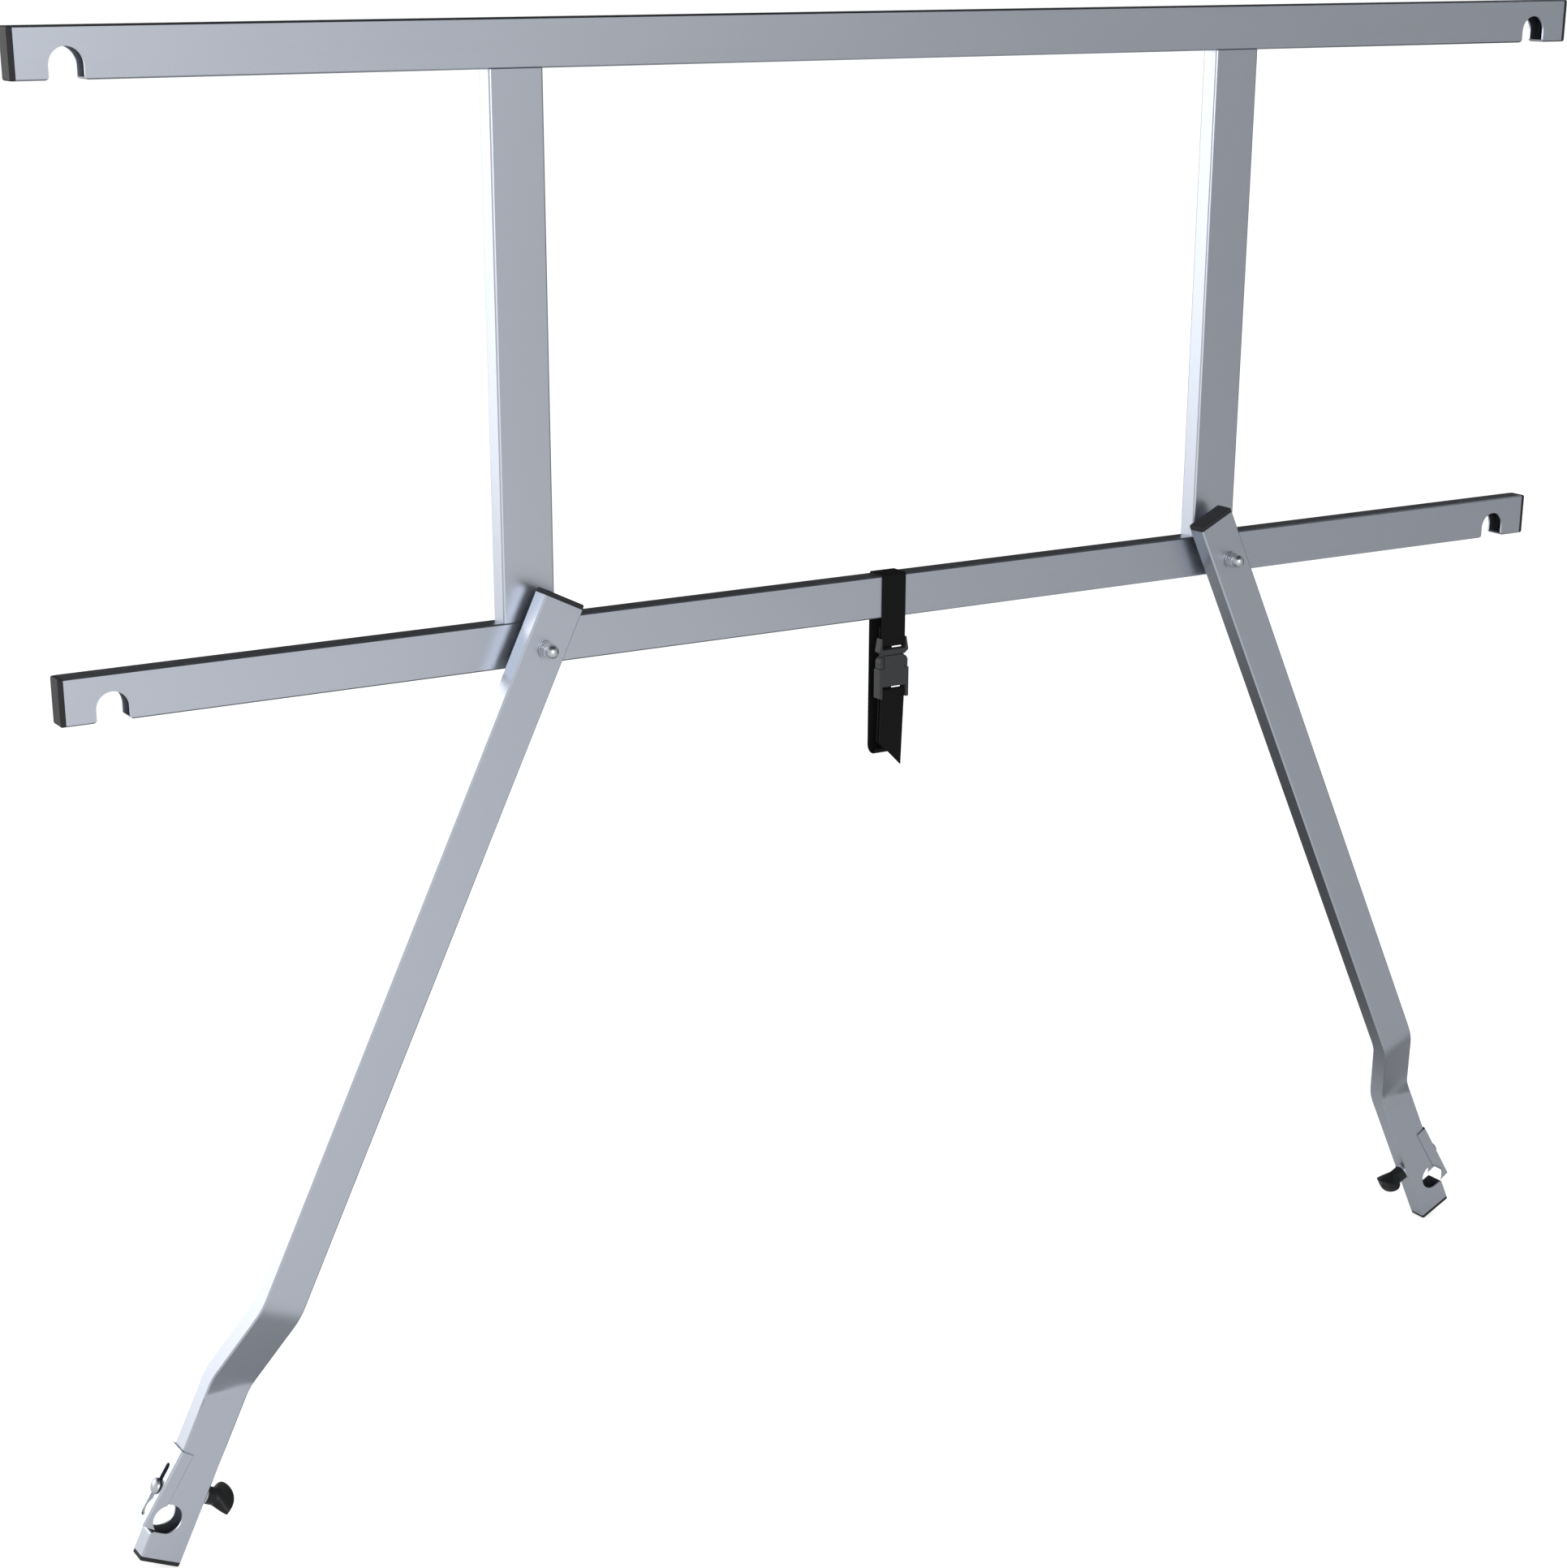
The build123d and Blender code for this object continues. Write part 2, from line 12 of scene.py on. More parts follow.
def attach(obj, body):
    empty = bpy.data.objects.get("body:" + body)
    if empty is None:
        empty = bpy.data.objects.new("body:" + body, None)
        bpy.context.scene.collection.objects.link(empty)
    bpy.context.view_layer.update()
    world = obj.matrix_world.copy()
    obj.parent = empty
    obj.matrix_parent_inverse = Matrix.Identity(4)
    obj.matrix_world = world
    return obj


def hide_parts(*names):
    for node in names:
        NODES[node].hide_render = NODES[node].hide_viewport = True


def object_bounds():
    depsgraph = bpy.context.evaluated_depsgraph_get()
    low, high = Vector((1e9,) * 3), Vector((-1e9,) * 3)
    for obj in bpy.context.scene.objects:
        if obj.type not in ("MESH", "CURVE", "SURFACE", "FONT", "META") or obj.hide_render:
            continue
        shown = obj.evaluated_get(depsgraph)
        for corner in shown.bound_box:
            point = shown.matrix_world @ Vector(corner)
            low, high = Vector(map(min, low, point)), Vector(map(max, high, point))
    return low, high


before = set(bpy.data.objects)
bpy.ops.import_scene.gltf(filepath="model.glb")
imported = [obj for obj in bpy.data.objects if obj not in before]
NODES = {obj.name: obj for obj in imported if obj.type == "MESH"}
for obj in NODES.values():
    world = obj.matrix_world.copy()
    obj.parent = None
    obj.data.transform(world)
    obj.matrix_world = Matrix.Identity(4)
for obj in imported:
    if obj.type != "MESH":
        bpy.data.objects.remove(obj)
cad_low, cad_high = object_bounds()

bl_info = {
    "name": "Folding Guard Rail Frame",
    "version": (1, 0, 0),
    "blender": (4, 5, 0),
    "location": "View3D > Sidebar > Guard Frame",
    "description": "Finishes, webbing, buckle, knobs and stage for a folding guard rail frame",
    "category": "Object",
}

SIDES = ("left", "right")

# Where each pivot's nut starts and the way it faces, and the same for each clamp bolt's head.
NUT_SEAT = {
    "left": (Vector((-0.379793, -0.04145, -0.490679)), Vector((0.017327, -0.999832, 0.005966))),
    "right": (Vector((0.380207, -0.04145, -0.490821)), Vector((0.017327, -0.999832, -0.005966))),
}
HEAD_SEAT = {
    "left": (Vector((-0.765877, 0.0099, -1.21966)), Vector((-0.898794, 0, 0.438371))),
    "right": (Vector((0.765877, 0.0099, -1.21966)), Vector((0.898794, 0, 0.438371))),
}

# The clamp bolt's square neck and its reach from the head's seat to its tip.
NECK_LENGTH = 0.003
BOLT_REACH = 0.06429

# Where each knob sits on its washer, the way out of the leg, and the way that its wings point.
KNOB_SEAT = {
    "left": (
        Vector((-0.721888, 0.0099, -1.24111)),
        Vector((0.898794, 0, -0.438371)),
        Vector((-0.1783, -0.91355, -0.36557)),
    ),
    "right": (
        Vector((0.721888, 0.0099, -1.24111)),
        Vector((-0.898794, 0, -0.438371)),
        Vector((-0.06101, -0.99027, 0.12508)),
    ),
}

# Height above the seat, half length and half width of the wing's oval sections.
WING_RINGS = (
    (0.0090, 0.0083, 0.0083),
    (0.0102, 0.0090, 0.0083),
    (0.0115, 0.0105, 0.0083),
    (0.0130, 0.0124, 0.0082),
    (0.0145, 0.0142, 0.0080),
    (0.0160, 0.0158, 0.0078),
    (0.0180, 0.0176, 0.0075),
    (0.0200, 0.0188, 0.0073),
    (0.0220, 0.0194, 0.0071),
    (0.0280, 0.0195, 0.0070),
)

# The middle of the strap's thickness as (y, z) corners, from its hem to its free end, and the inner bends.
STRAP_CORNERS = (
    (-0.0067, -0.51925),
    (-0.0067, -0.53805),
    (-0.0109, -0.53805),
    (-0.0109, -0.46985),
    (0.0109, -0.46985),
    (0.0109, -0.64345),
    (-0.0035, -0.64345),
    (-0.0067, -0.57955),
    (-0.0109, -0.57955),
    (-0.0109, -0.58635),
    (-0.0069, -0.65575),
)
STRAP_BENDS = (0.002, 0.002, 0.0023, 0.0023, 0.0068, 0.0068, 0.002, 0.002, 0.040)
# The free end of the strap is the part in front of this depth and below this height.
TAIL_FRONT = -0.0045
TAIL_TOP = -0.60


# ---------------------------------------------------------------- sizes and colours
class FrameFinish(bpy.types.PropertyGroup):
    tube: bpy.props.FloatVectorProperty(
        name="Tube", description="Colour of the anodised tube", subtype="COLOR",
        default=(0.44, 0.47, 0.53), min=0, max=1,
    )
    plastic: bpy.props.FloatVectorProperty(
        name="Plastic", description="Colour of the end plugs", subtype="COLOR",
        default=(0.022, 0.022, 0.025), min=0, max=1,
    )
    buckle: bpy.props.FloatVectorProperty(
        name="Buckle", description="Colour of the buckle", subtype="COLOR",
        default=(0.030, 0.032, 0.035), min=0, max=1,
    )
    knob: bpy.props.FloatVectorProperty(
        name="Knob", description="Colour of the wing knobs", subtype="COLOR",
        default=(0.008, 0.009, 0.010), min=0, max=1,
    )
    webbing: bpy.props.FloatVectorProperty(
        name="Webbing", description="Colour of the strap yarn", subtype="COLOR",
        default=(0.0038, 0.0040, 0.0043), min=0, max=1,
    )
    zinc: bpy.props.FloatVectorProperty(
        name="Zinc", description="Colour of the plated bolts and nuts", subtype="COLOR",
        default=(0.47, 0.49, 0.52), min=0, max=1,
    )


class FrameStage(bpy.types.PropertyGroup):
    floor_size: bpy.props.FloatProperty(
        name="Floor", description="Side of the square floor", default=60.0, unit="LENGTH",
    )
    floor_gap: bpy.props.FloatProperty(
        name="Floor gap", description="Room left under the feet", default=0.0005, unit="LENGTH",
    )
    floor_lift: bpy.props.FloatProperty(
        name="Floor lift", description="Light that the floor shows of itself", default=0.6, subtype="FACTOR",
    )
    room_light: bpy.props.FloatProperty(
        name="Room light", description="Level of the light from all round", default=0.55, subtype="FACTOR",
    )
    lens: bpy.props.FloatProperty(
        name="Lens", description="Focal length of the camera", default=68.7, subtype="DISTANCE_CAMERA",
    )
    camera_place: bpy.props.FloatVectorProperty(
        name="Camera", description="Place of the camera", subtype="TRANSLATION",
        default=(-1.535, -2.305, 0.1),
    )
    camera_turn: bpy.props.FloatVectorProperty(
        name="Camera turn", description="Turn of the camera", subtype="EULER",
        default=(math.radians(70.501), 0.0, math.radians(-30.968)),
    )
    camera_shift: bpy.props.FloatVectorProperty(
        name="Camera shift", description="Shift of the picture", size=2, default=(0.0222, 0.1281),
    )


class FrameTrim(bpy.types.PropertyGroup):
    web_width: bpy.props.FloatProperty(
        name="Webbing width", description="Width of the webbing", default=0.0254, unit="LENGTH",
    )
    web_thickness: bpy.props.FloatProperty(
        name="Webbing thickness", description="Thickness of the webbing", default=0.0014, unit="LENGTH",
    )
    web_cut: bpy.props.FloatProperty(
        name="Webbing cut", description="How much higher the left edge of the tail ends", default=0.025,
        unit="LENGTH",
    )
    tube_corner: bpy.props.FloatProperty(
        name="Tube corner", description="Width that each side of a tube's corner is rounded by",
        default=0.0009, unit="LENGTH",
    )
    moulded_edge: bpy.props.FloatProperty(
        name="Moulded edge", description="Rounding of moulded edges", default=0.0003, unit="LENGTH",
    )
    plug_edge: bpy.props.FloatProperty(
        name="Plug edge", description="Rounding of the end plugs' lips", default=0.0007, unit="LENGTH",
    )
    wing_edge: bpy.props.FloatProperty(
        name="Wing edge", description="Rounding of the knobs' wings", default=0.0006, unit="LENGTH",
    )
    sheet_edge: bpy.props.FloatProperty(
        name="Sheet edge", description="Rounding of the latches' edges", default=0.00008, unit="LENGTH",
    )


# ---------------------------------------------------------------- materials
def new_material(name, colour, roughness, metallic=0.0):
    material = bpy.data.materials.new(name)
    material.use_nodes = True
    nodes = material.node_tree.nodes
    shader = nodes["Principled BSDF"]
    shader.inputs["Base Color"].default_value = (*colour, 1)
    shader.inputs["Roughness"].default_value = roughness
    shader.inputs["Metallic"].default_value = metallic
    return material


def add_node(material, kind, **values):
    node = material.node_tree.nodes.new(kind)
    for name, value in values.items():
        if name in node.inputs:
            node.inputs[name].default_value = value
        else:
            setattr(node, name, value)
    return node


def link(material, output, target):
    material.node_tree.links.new(output, target)


def shader_of(material):
    return material.node_tree.nodes["Principled BSDF"]


def remap(material, value, low, high):
    """Return a socket with a 0 to 1 value stretched between low and high."""
    stretch = add_node(material, "ShaderNodeMapRange")
    stretch.inputs["To Min"].default_value = low
    stretch.inputs["To Max"].default_value = high
    link(material, value, stretch.inputs["Value"])
    return stretch.outputs["Result"]


def raise_grain(material, height, strength, distance):
    """Let a height stand out from the surface."""
    bump = add_node(material, "ShaderNodeBump", Strength=strength, Distance=distance)
    link(material, height, bump.inputs["Height"])
    link(material, bump.outputs["Normal"], shader_of(material).inputs["Normal"])


def brushed_tube(name, colour, turn):
    """Satin anodised extrusion: fine die lines along local X after a turn about Y."""
    material = new_material(name, colour, 0.34, 1.0)
    coordinates = add_node(material, "ShaderNodeTexCoord")
    lines = add_node(material, "ShaderNodeMapping", Rotation=(0, turn, 0), Scale=(3, 900, 900))
    link(material, coordinates.outputs["Object"], lines.inputs["Vector"])
    grain = add_node(material, "ShaderNodeTexNoise", Scale=1.0, Detail=3.0)
    link(material, lines.outputs["Vector"], grain.inputs["Vector"])
    rough = remap(material, grain.outputs["Fac"], 0.28, 0.42)
    link(material, rough, shader_of(material).inputs["Roughness"])
    raise_grain(material, grain.outputs["Fac"], 0.03, 0.0003)
    return material


def plated_steel(name, colour, roughness):
    """Dull plated steel with the faint cloudiness of a barrel finish."""
    material = new_material(name, colour, roughness, 1.0)
    coordinates = add_node(material, "ShaderNodeTexCoord")
    cloud = add_node(material, "ShaderNodeTexNoise", Scale=700.0, Detail=3.0)
    link(material, coordinates.outputs["Object"], cloud.inputs["Vector"])
    rough = remap(material, cloud.outputs["Fac"], roughness - 0.06, roughness + 0.08)
    link(material, rough, shader_of(material).inputs["Roughness"])
    raise_grain(material, cloud.outputs["Fac"], 0.05, 0.0001)
    return material


def moulded_plastic(name, colour, roughness, grain_size, shine=0.5):
    """Black moulded plastic with a fine spark grain."""
    material = new_material(name, colour, roughness)
    shader_of(material).inputs["Specular IOR Level"].default_value = shine
    coordinates = add_node(material, "ShaderNodeTexCoord")
    grain = add_node(material, "ShaderNodeTexNoise", Scale=1 / grain_size, Detail=4.0)
    link(material, coordinates.outputs["Object"], grain.inputs["Vector"])
    rough = remap(material, grain.outputs["Fac"], roughness - 0.08, roughness + 0.12)
    link(material, rough, shader_of(material).inputs["Roughness"])
    raise_grain(material, grain.outputs["Fac"], 0.2, 0.00015)
    return material


def woven_yarn(name, colour):
    """Flat woven webbing: ribs across the band, broken into yarns along it, with painted shade in the
    weave's dips and painted highlight on its crowns.
    """
    material = new_material(name, colour, 0.75)
    shader_of(material).inputs["Specular IOR Level"].default_value = 0.12
    coordinates = add_node(material, "ShaderNodeTexCoord")
    apart = add_node(material, "ShaderNodeSeparateXYZ")
    link(material, coordinates.outputs["UV"], apart.inputs[0])
    yarns = []
    for axis, pitch in (("X", 0.0013), ("Y", 0.0011)):
        steps = add_node(material, "ShaderNodeMath", operation="MULTIPLY")
        steps.inputs[1].default_value = math.pi / pitch
        link(material, apart.outputs[axis], steps.inputs[0])
        wave = add_node(material, "ShaderNodeMath", operation="SINE")
        link(material, steps.outputs[0], wave.inputs[0])
        yarns.append(wave.outputs[0])
    crossing = add_node(material, "ShaderNodeMath", operation="MULTIPLY")
    link(material, yarns[0], crossing.inputs[0])
    link(material, yarns[1], crossing.inputs[1])
    height = add_node(material, "ShaderNodeMath", operation="MULTIPLY_ADD")
    height.inputs[1].default_value = 0.5
    height.inputs[2].default_value = 0.5
    link(material, crossing.outputs[0], height.inputs[0])
    # Painted shade and highlight: the yarn colour drops to 0.55 times in the weave's dips and rises to 1.45
    # times on its crowns.
    weave_shade_and_highlight = add_node(material, "ShaderNodeMix", data_type="RGBA")
    weave_shade_and_highlight.inputs[6].default_value = (*(0.55 * channel for channel in colour), 1)
    weave_shade_and_highlight.inputs[7].default_value = (*(1.45 * channel for channel in colour), 1)
    link(material, height.outputs[0], weave_shade_and_highlight.inputs["Factor"])
    link(material, weave_shade_and_highlight.outputs[2], shader_of(material).inputs["Base Color"])
    raise_grain(material, height.outputs[0], 0.6, 0.0002)
    return material


def paint(piece, material):
    if not piece.material_slots:
        piece.data.materials.append(material)
    for each in piece.material_slots:
        each.material = material


def dress(piece, material, slot, body, *nodes):
    """Paint a finished piece, set it on its body and let it stand for its CAD nodes."""
    paint(piece, material)
    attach(piece, body)
    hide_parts(*nodes)


# ---------------------------------------------------------------- modelling steps
def deselect_all():
    bpy.ops.object.select_all(action="DESELECT")


def select_only(piece):
    deselect_all()
    piece.select_set(True)
    bpy.context.view_layer.objects.active = piece


def apply_place(piece):
    """Bake a piece's place, turn and size into its mesh."""
    select_only(piece)
    bpy.ops.object.transform_apply(location=True, rotation=True, scale=True)


def merged_copy(node, name):
    """Copy a CAD node as one merged mesh with its flat faces whole."""
    piece = NODES[node].copy()
    piece.data = NODES[node].data.copy()
    piece.parent = None
    for key in list(piece.keys()):
        del piece[key]
    piece.name = name
    piece.data.name = name
    bpy.context.scene.collection.objects.link(piece)
    select_only(piece)
    bpy.ops.object.mode_set(mode="EDIT")
    bpy.ops.mesh.select_all(action="SELECT")
    bpy.ops.mesh.remove_doubles(threshold=1e-6)
    bpy.ops.mesh.customdata_custom_splitnormals_clear()
    bpy.ops.mesh.dissolve_limited(angle_limit=math.radians(1))
    bpy.ops.object.mode_set(mode="OBJECT")
    return piece


def round_edges(piece, width, segments=2, sharper_than=35):
    """Round a piece's sharp edges and shade it evenly."""
    select_only(piece)
    rounding = piece.modifiers.new("Rounding", "BEVEL")
    rounding.width = width
    rounding.segments = segments
    rounding.limit_method = "ANGLE"
    rounding.angle_limit = math.radians(sharper_than)
    bpy.ops.object.modifier_apply(modifier="Rounding")
    bpy.ops.object.shade_smooth_by_angle(angle=math.radians(40))
    even_shading(piece)


def moulded_copy(node, name, edge, segments=2):
    """Copy a CAD node with its sharp edges rounded."""
    piece = merged_copy(node, name)
    round_edges(piece, edge, segments)
    return piece


def edges_at(piece, low, high):
    """Select only the edges whose two faces meet at an angle between low and high degrees."""
    select_only(piece)
    bpy.ops.object.mode_set(mode="EDIT")
    bpy.ops.mesh.select_mode(type="EDGE")
    bpy.ops.mesh.select_all(action="DESELECT")
    bpy.ops.object.mode_set(mode="OBJECT")
    mesh = piece.data
    normals = {}
    for polygon in mesh.polygons:
        for key in polygon.edge_keys:
            normals.setdefault(key, []).append(polygon.normal.copy())
    for edge in mesh.edges:
        meeting = normals.get(edge.key, [])
        if len(meeting) == 2:
            angle = math.degrees(meeting[0].angle(meeting[1], 0.0))
            edge.select = low < angle < high


def rounded_tube(node, name, radius):
    """Copy a CAD tube with the cuts along its corners turned into round corners."""
    piece = merged_copy(node, name)
    edges_at(piece, 35, 55)
    bpy.ops.object.mode_set(mode="EDIT")
    bpy.ops.mesh.bevel(offset=radius, offset_type="OFFSET", segments=3, affect="EDGES", clamp_overlap=True)
    bpy.ops.object.mode_set(mode="OBJECT")
    bpy.ops.object.shade_smooth_by_angle(angle=math.radians(30))
    even_shading(piece)
    return piece


def even_shading(piece):
    """Weigh the shading by face size, so that flat faces stay flat up to their round edges."""
    select_only(piece)
    shading = piece.modifiers.new("Even shading", "WEIGHTED_NORMAL")
    shading.keep_sharp = True
    bpy.ops.object.modifier_apply(modifier="Even shading")


def drawn(name, points):
    """Draw a chain of edges through points by extruding one corner step by step, left open for editing."""
    deselect_all()
    bpy.ops.mesh.primitive_plane_add(size=1, enter_editmode=True)
    piece = bpy.context.object
    piece.name = name
    piece.data.name = name
    bpy.ops.mesh.select_mode(type="VERT")
    bpy.ops.mesh.select_all(action="SELECT")
    bpy.ops.mesh.merge(type="CENTER")
    bpy.ops.transform.translate(value=points[0])
    for here, there in zip(points, points[1:]):
        step = [new - old for new, old in zip(there, here)]
        bpy.ops.mesh.extrude_region_move(TRANSFORM_OT_translate={"value": step})
    bpy.ops.mesh.select_all(action="SELECT")
    return piece


def close_mesh():
    """Join touching corners, face the skin outwards and leave the editing."""
    bpy.ops.mesh.select_all(action="SELECT")
    bpy.ops.mesh.remove_doubles(threshold=1e-6)
    bpy.ops.mesh.normals_make_consistent(inside=False)
    bpy.ops.object.mode_set(mode="OBJECT")


def turned(name, profile, steps=48):
    """A turned piece about local Z, spun from (radius, height) pairs."""
    piece = drawn(name, [(radius, 0, height) for radius, height in profile])
    bpy.ops.mesh.spin(steps=steps, angle=2 * math.pi, center=(0, 0, 0), axis=(0, 0, 1))
    close_mesh()
    bpy.ops.object.shade_smooth_by_angle(angle=math.radians(35))
    return piece


def slab(name, outline, push):
    """A flat piece: an outline of points filled and extruded by a push."""
    piece = drawn(name, [*outline, outline[0]])
    bpy.ops.mesh.remove_doubles(threshold=1e-6)
    bpy.ops.mesh.edge_face_add()
    bpy.ops.mesh.extrude_region_move(TRANSFORM_OT_translate={"value": push})
    close_mesh()
    return piece


def cut(piece, tool, operation):
    """Cut a piece with a tool, or keep only what they share, and throw the tool away."""
    select_only(piece)
    cutting = piece.modifiers.new("Cut", "BOOLEAN")
    cutting.operation = operation
    cutting.object = tool
    cutting.solver = "EXACT"
    bpy.ops.object.modifier_apply(modifier="Cut")
    select_only(tool)
    bpy.ops.object.delete()


def arc_through(half, side, middle, steps=16):
    """Return points from (-half, side) over (0, middle) to (half, side) along a circle."""
    rise = middle - side
    radius = (half * half + rise * rise) / (2 * rise)
    reach = math.asin(half / radius)
    angles = [reach * (2 * step / steps - 1) for step in range(steps + 1)]
    return [(radius * math.sin(a), middle - radius + radius * math.cos(a)) for a in angles]


def stand_on(piece, place, direction):
    """Set a piece modelled along +Z on a place, facing a direction, and bake it."""
    piece.rotation_mode = "QUATERNION"
    piece.rotation_quaternion = direction.to_track_quat("Z", "Y")
    piece.location = place
    apply_place(piece)
    piece.rotation_mode = "XYZ"


def set_along(piece, place, out, along):
    """Set a piece on a place with its Z facing out and its X along a direction, and bake it."""
    turn = Matrix((along, out.cross(along), out)).transposed()
    piece.matrix_world = Matrix.Translation(place) @ turn.to_4x4()
    apply_place(piece)


def join(*pieces):
    """Join pieces into the first one."""
    deselect_all()
    for piece in pieces:
        piece.select_set(True)
    bpy.context.view_layer.objects.active = pieces[0]
    bpy.ops.object.join()
    return pieces[0]


# ---------------------------------------------------------------- strap path
def bent(corners, radii):
    """Return (y, z) points along a path whose inner corners are rounded."""
    points = [Vector(corners[0])]
    for before, corner, after, radius in zip(corners, corners[1:], corners[2:], radii):
        corner = Vector(corner)
        arriving = (corner - Vector(before)).normalized()
        leaving = (Vector(after) - corner).normalized()
        turn = arriving.angle(leaving)
        setback = radius * math.tan(turn / 2)
        start = corner - arriving * setback
        inward = (leaving - arriving).normalized()
        centre = corner + inward * (radius / math.cos(turn / 2))
        count = max(2, round(math.degrees(turn) / 12))
        swing = 1 if arriving.x * leaving.y - arriving.y * leaving.x > 0 else -1
        for step in range(count + 1):
            angle = swing * turn * step / count
            arm = start - centre
            points.append(centre + Matrix.Rotation(angle, 2) @ arm)
    points.append(Vector(corners[-1]))
    return points


def ribbon(name, points, width, columns=12):
    """A flat band, extruded from one row of edges step by step along points in the YZ plane."""
    deselect_all()
    bpy.ops.mesh.primitive_grid_add(x_subdivisions=columns, y_subdivisions=1, size=1, enter_editmode=True)
    piece = bpy.context.object
    piece.name = name
    piece.data.name = name
    bpy.ops.mesh.select_all(action="SELECT")
    bpy.ops.transform.resize(value=(width, 1, 1))
    bpy.ops.object.mode_set(mode="OBJECT")
    bpy.ops.object.mode_set(mode="EDIT")
    bpy.ops.mesh.select_mode(type="VERT")
    bpy.ops.mesh.select_all(action="DESELECT")
    bpy.ops.object.mode_set(mode="OBJECT")
    for corner in piece.data.vertices:
        corner.select = corner.co.y > 0
    bpy.ops.object.mode_set(mode="EDIT")
    bpy.ops.mesh.delete(type="VERT")
    bpy.ops.mesh.select_all(action="SELECT")
    bpy.ops.transform.translate(value=(0, 0.5 + points[0][0], points[0][1]))
    for here, there in zip(points, points[1:]):
        step = (0, there[0] - here[0], there[1] - here[1])
        bpy.ops.mesh.extrude_region_move(TRANSFORM_OT_translate={"value": step})
    bpy.ops.object.mode_set(mode="OBJECT")
    lay_flat(piece, points)
    return piece


def lay_flat(piece, points):
    """Give a band a flat map in metres: X across it and Y along it."""
    lengths = [0.0]
    for here, there in zip(points, points[1:]):
        lengths.append(lengths[-1] + (there - here).length)
    mesh = piece.data
    layer = mesh.uv_layers.active or mesh.uv_layers.new(name="UVMap")
    for corner in mesh.loops:
        spot = mesh.vertices[corner.vertex_index].co
        nearest = min(range(len(points)), key=lambda row: (points[row] - spot.yz).length)
        layer.data[corner.index].uv = (spot.x, lengths[nearest])


# ---------------------------------------------------------------- stage pieces
def seen_rays(tree):
    """Return a socket that is 1 for camera, glossy and transmission rays and 0 for the rest."""
    path = tree.nodes.new("ShaderNodeLightPath")
    seen = path.outputs["Is Camera Ray"]
    for other in ("Is Glossy Ray", "Is Transmission Ray"):
        either = tree.nodes.new("ShaderNodeMath")
        either.operation = "MAXIMUM"
        tree.links.new(seen, either.inputs[0])
        tree.links.new(path.outputs[other], either.inputs[1])
        seen = either.outputs[0]
    return seen


def floor_glow(material, lift):
    """Return the floor's own glow: even for the eye, and falling off to the right in reflections."""
    tree = material.node_tree
    path = add_node(material, "ShaderNodeLightPath")
    coordinates = add_node(material, "ShaderNodeTexCoord")
    slope = add_node(material, "ShaderNodeVectorMath", operation="DOT_PRODUCT")
    slope.inputs[1].default_value = (-0.16, -0.08, 0)
    link(material, coordinates.outputs["Object"], slope.inputs[0])
    reflected = add_node(material, "ShaderNodeMapRange")
    reflected.inputs["From Min"].default_value = -0.15
    reflected.inputs["From Max"].default_value = 0.20
    reflected.inputs["To Max"].default_value = 0.35
    link(material, slope.outputs["Value"], reflected.inputs["Value"])
    glow = add_node(material, "ShaderNodeMix", data_type="FLOAT")
    link(material, path.outputs["Is Camera Ray"], glow.inputs[0])
    link(material, reflected.outputs["Result"], glow.inputs[2])
    glow.inputs[3].default_value = lift
    lit = add_node(material, "ShaderNodeMath", operation="MULTIPLY")
    link(material, seen_rays(tree), lit.inputs[0])
    link(material, glow.outputs[0], lit.inputs[1])
    return lit.outputs[0]


def aimed(place, target):
    """Return the turn that points local -Z from a place at a target."""
    return (Vector(target) - Vector(place)).to_track_quat("-Z", "Y").to_euler()


def lamp(name, place, target, size, power):
    """Add a square soft lamp that the camera doesn't see."""
    deselect_all()
    bpy.ops.object.light_add(type="AREA", location=place, rotation=aimed(place, target))
    light = bpy.context.object
    light.name = name
    light.data.size = size
    light.data.energy = power
    light.visible_camera = False


def flag(name, place, target, width, height, shade):
    """Add a dark card that shows only in reflections, to shape them on the metal."""
    deselect_all()
    bpy.ops.mesh.primitive_plane_add(size=1, location=place, rotation=aimed(place, target))
    card = bpy.context.object
    card.name = name
    card.scale = (width, height, 1)
    material = new_material(name, (shade, shade, shade), 1.0)
    shader_of(material).inputs["Specular IOR Level"].default_value = 0.0
    paint(card, material)
    card.visible_camera = False
    card.visible_diffuse = False
    card.visible_shadow = False


def reflection_cards(low):
    """Return name, place, target, width, height and shade of each dark card, the low ones at a height."""
    return (
        ("ceiling_card", (0.5, 1.0, 3.2), (0.5, 1.0, 0), 9, 9, 0.02),
        ("back_card", (3.0, 5.0, 1.6), (0, 0, 0.4), 7, 3.4, 0.02),
        ("front_right_card", (4.2, -3.4, 0.3), (0, 0, 0.3), 4.0, 3.4, 0.74),
        ("right_card", (5.0, 0.8, 0.2), (0, 0.8, 0.2), 4.0, 3.0, 0.05),
        ("floor_card", (0, 0.47, low), (0, 0.47, 0), 1.2, 0.9, 0.10),
        ("right_floor_card", (3.6, 1.2, low), (3.6, 1.2, 0), 4.0, 3.2, 0.05),
        ("left_crank_card", (-0.66, -0.06, -1.14), (-0.66, -0.06, 0), 0.20, 0.11, 0.62),
        ("right_crank_card", (0.72, -0.06, -1.14), (0.72, -0.06, 0), 0.20, 0.11, 0.5),
    )


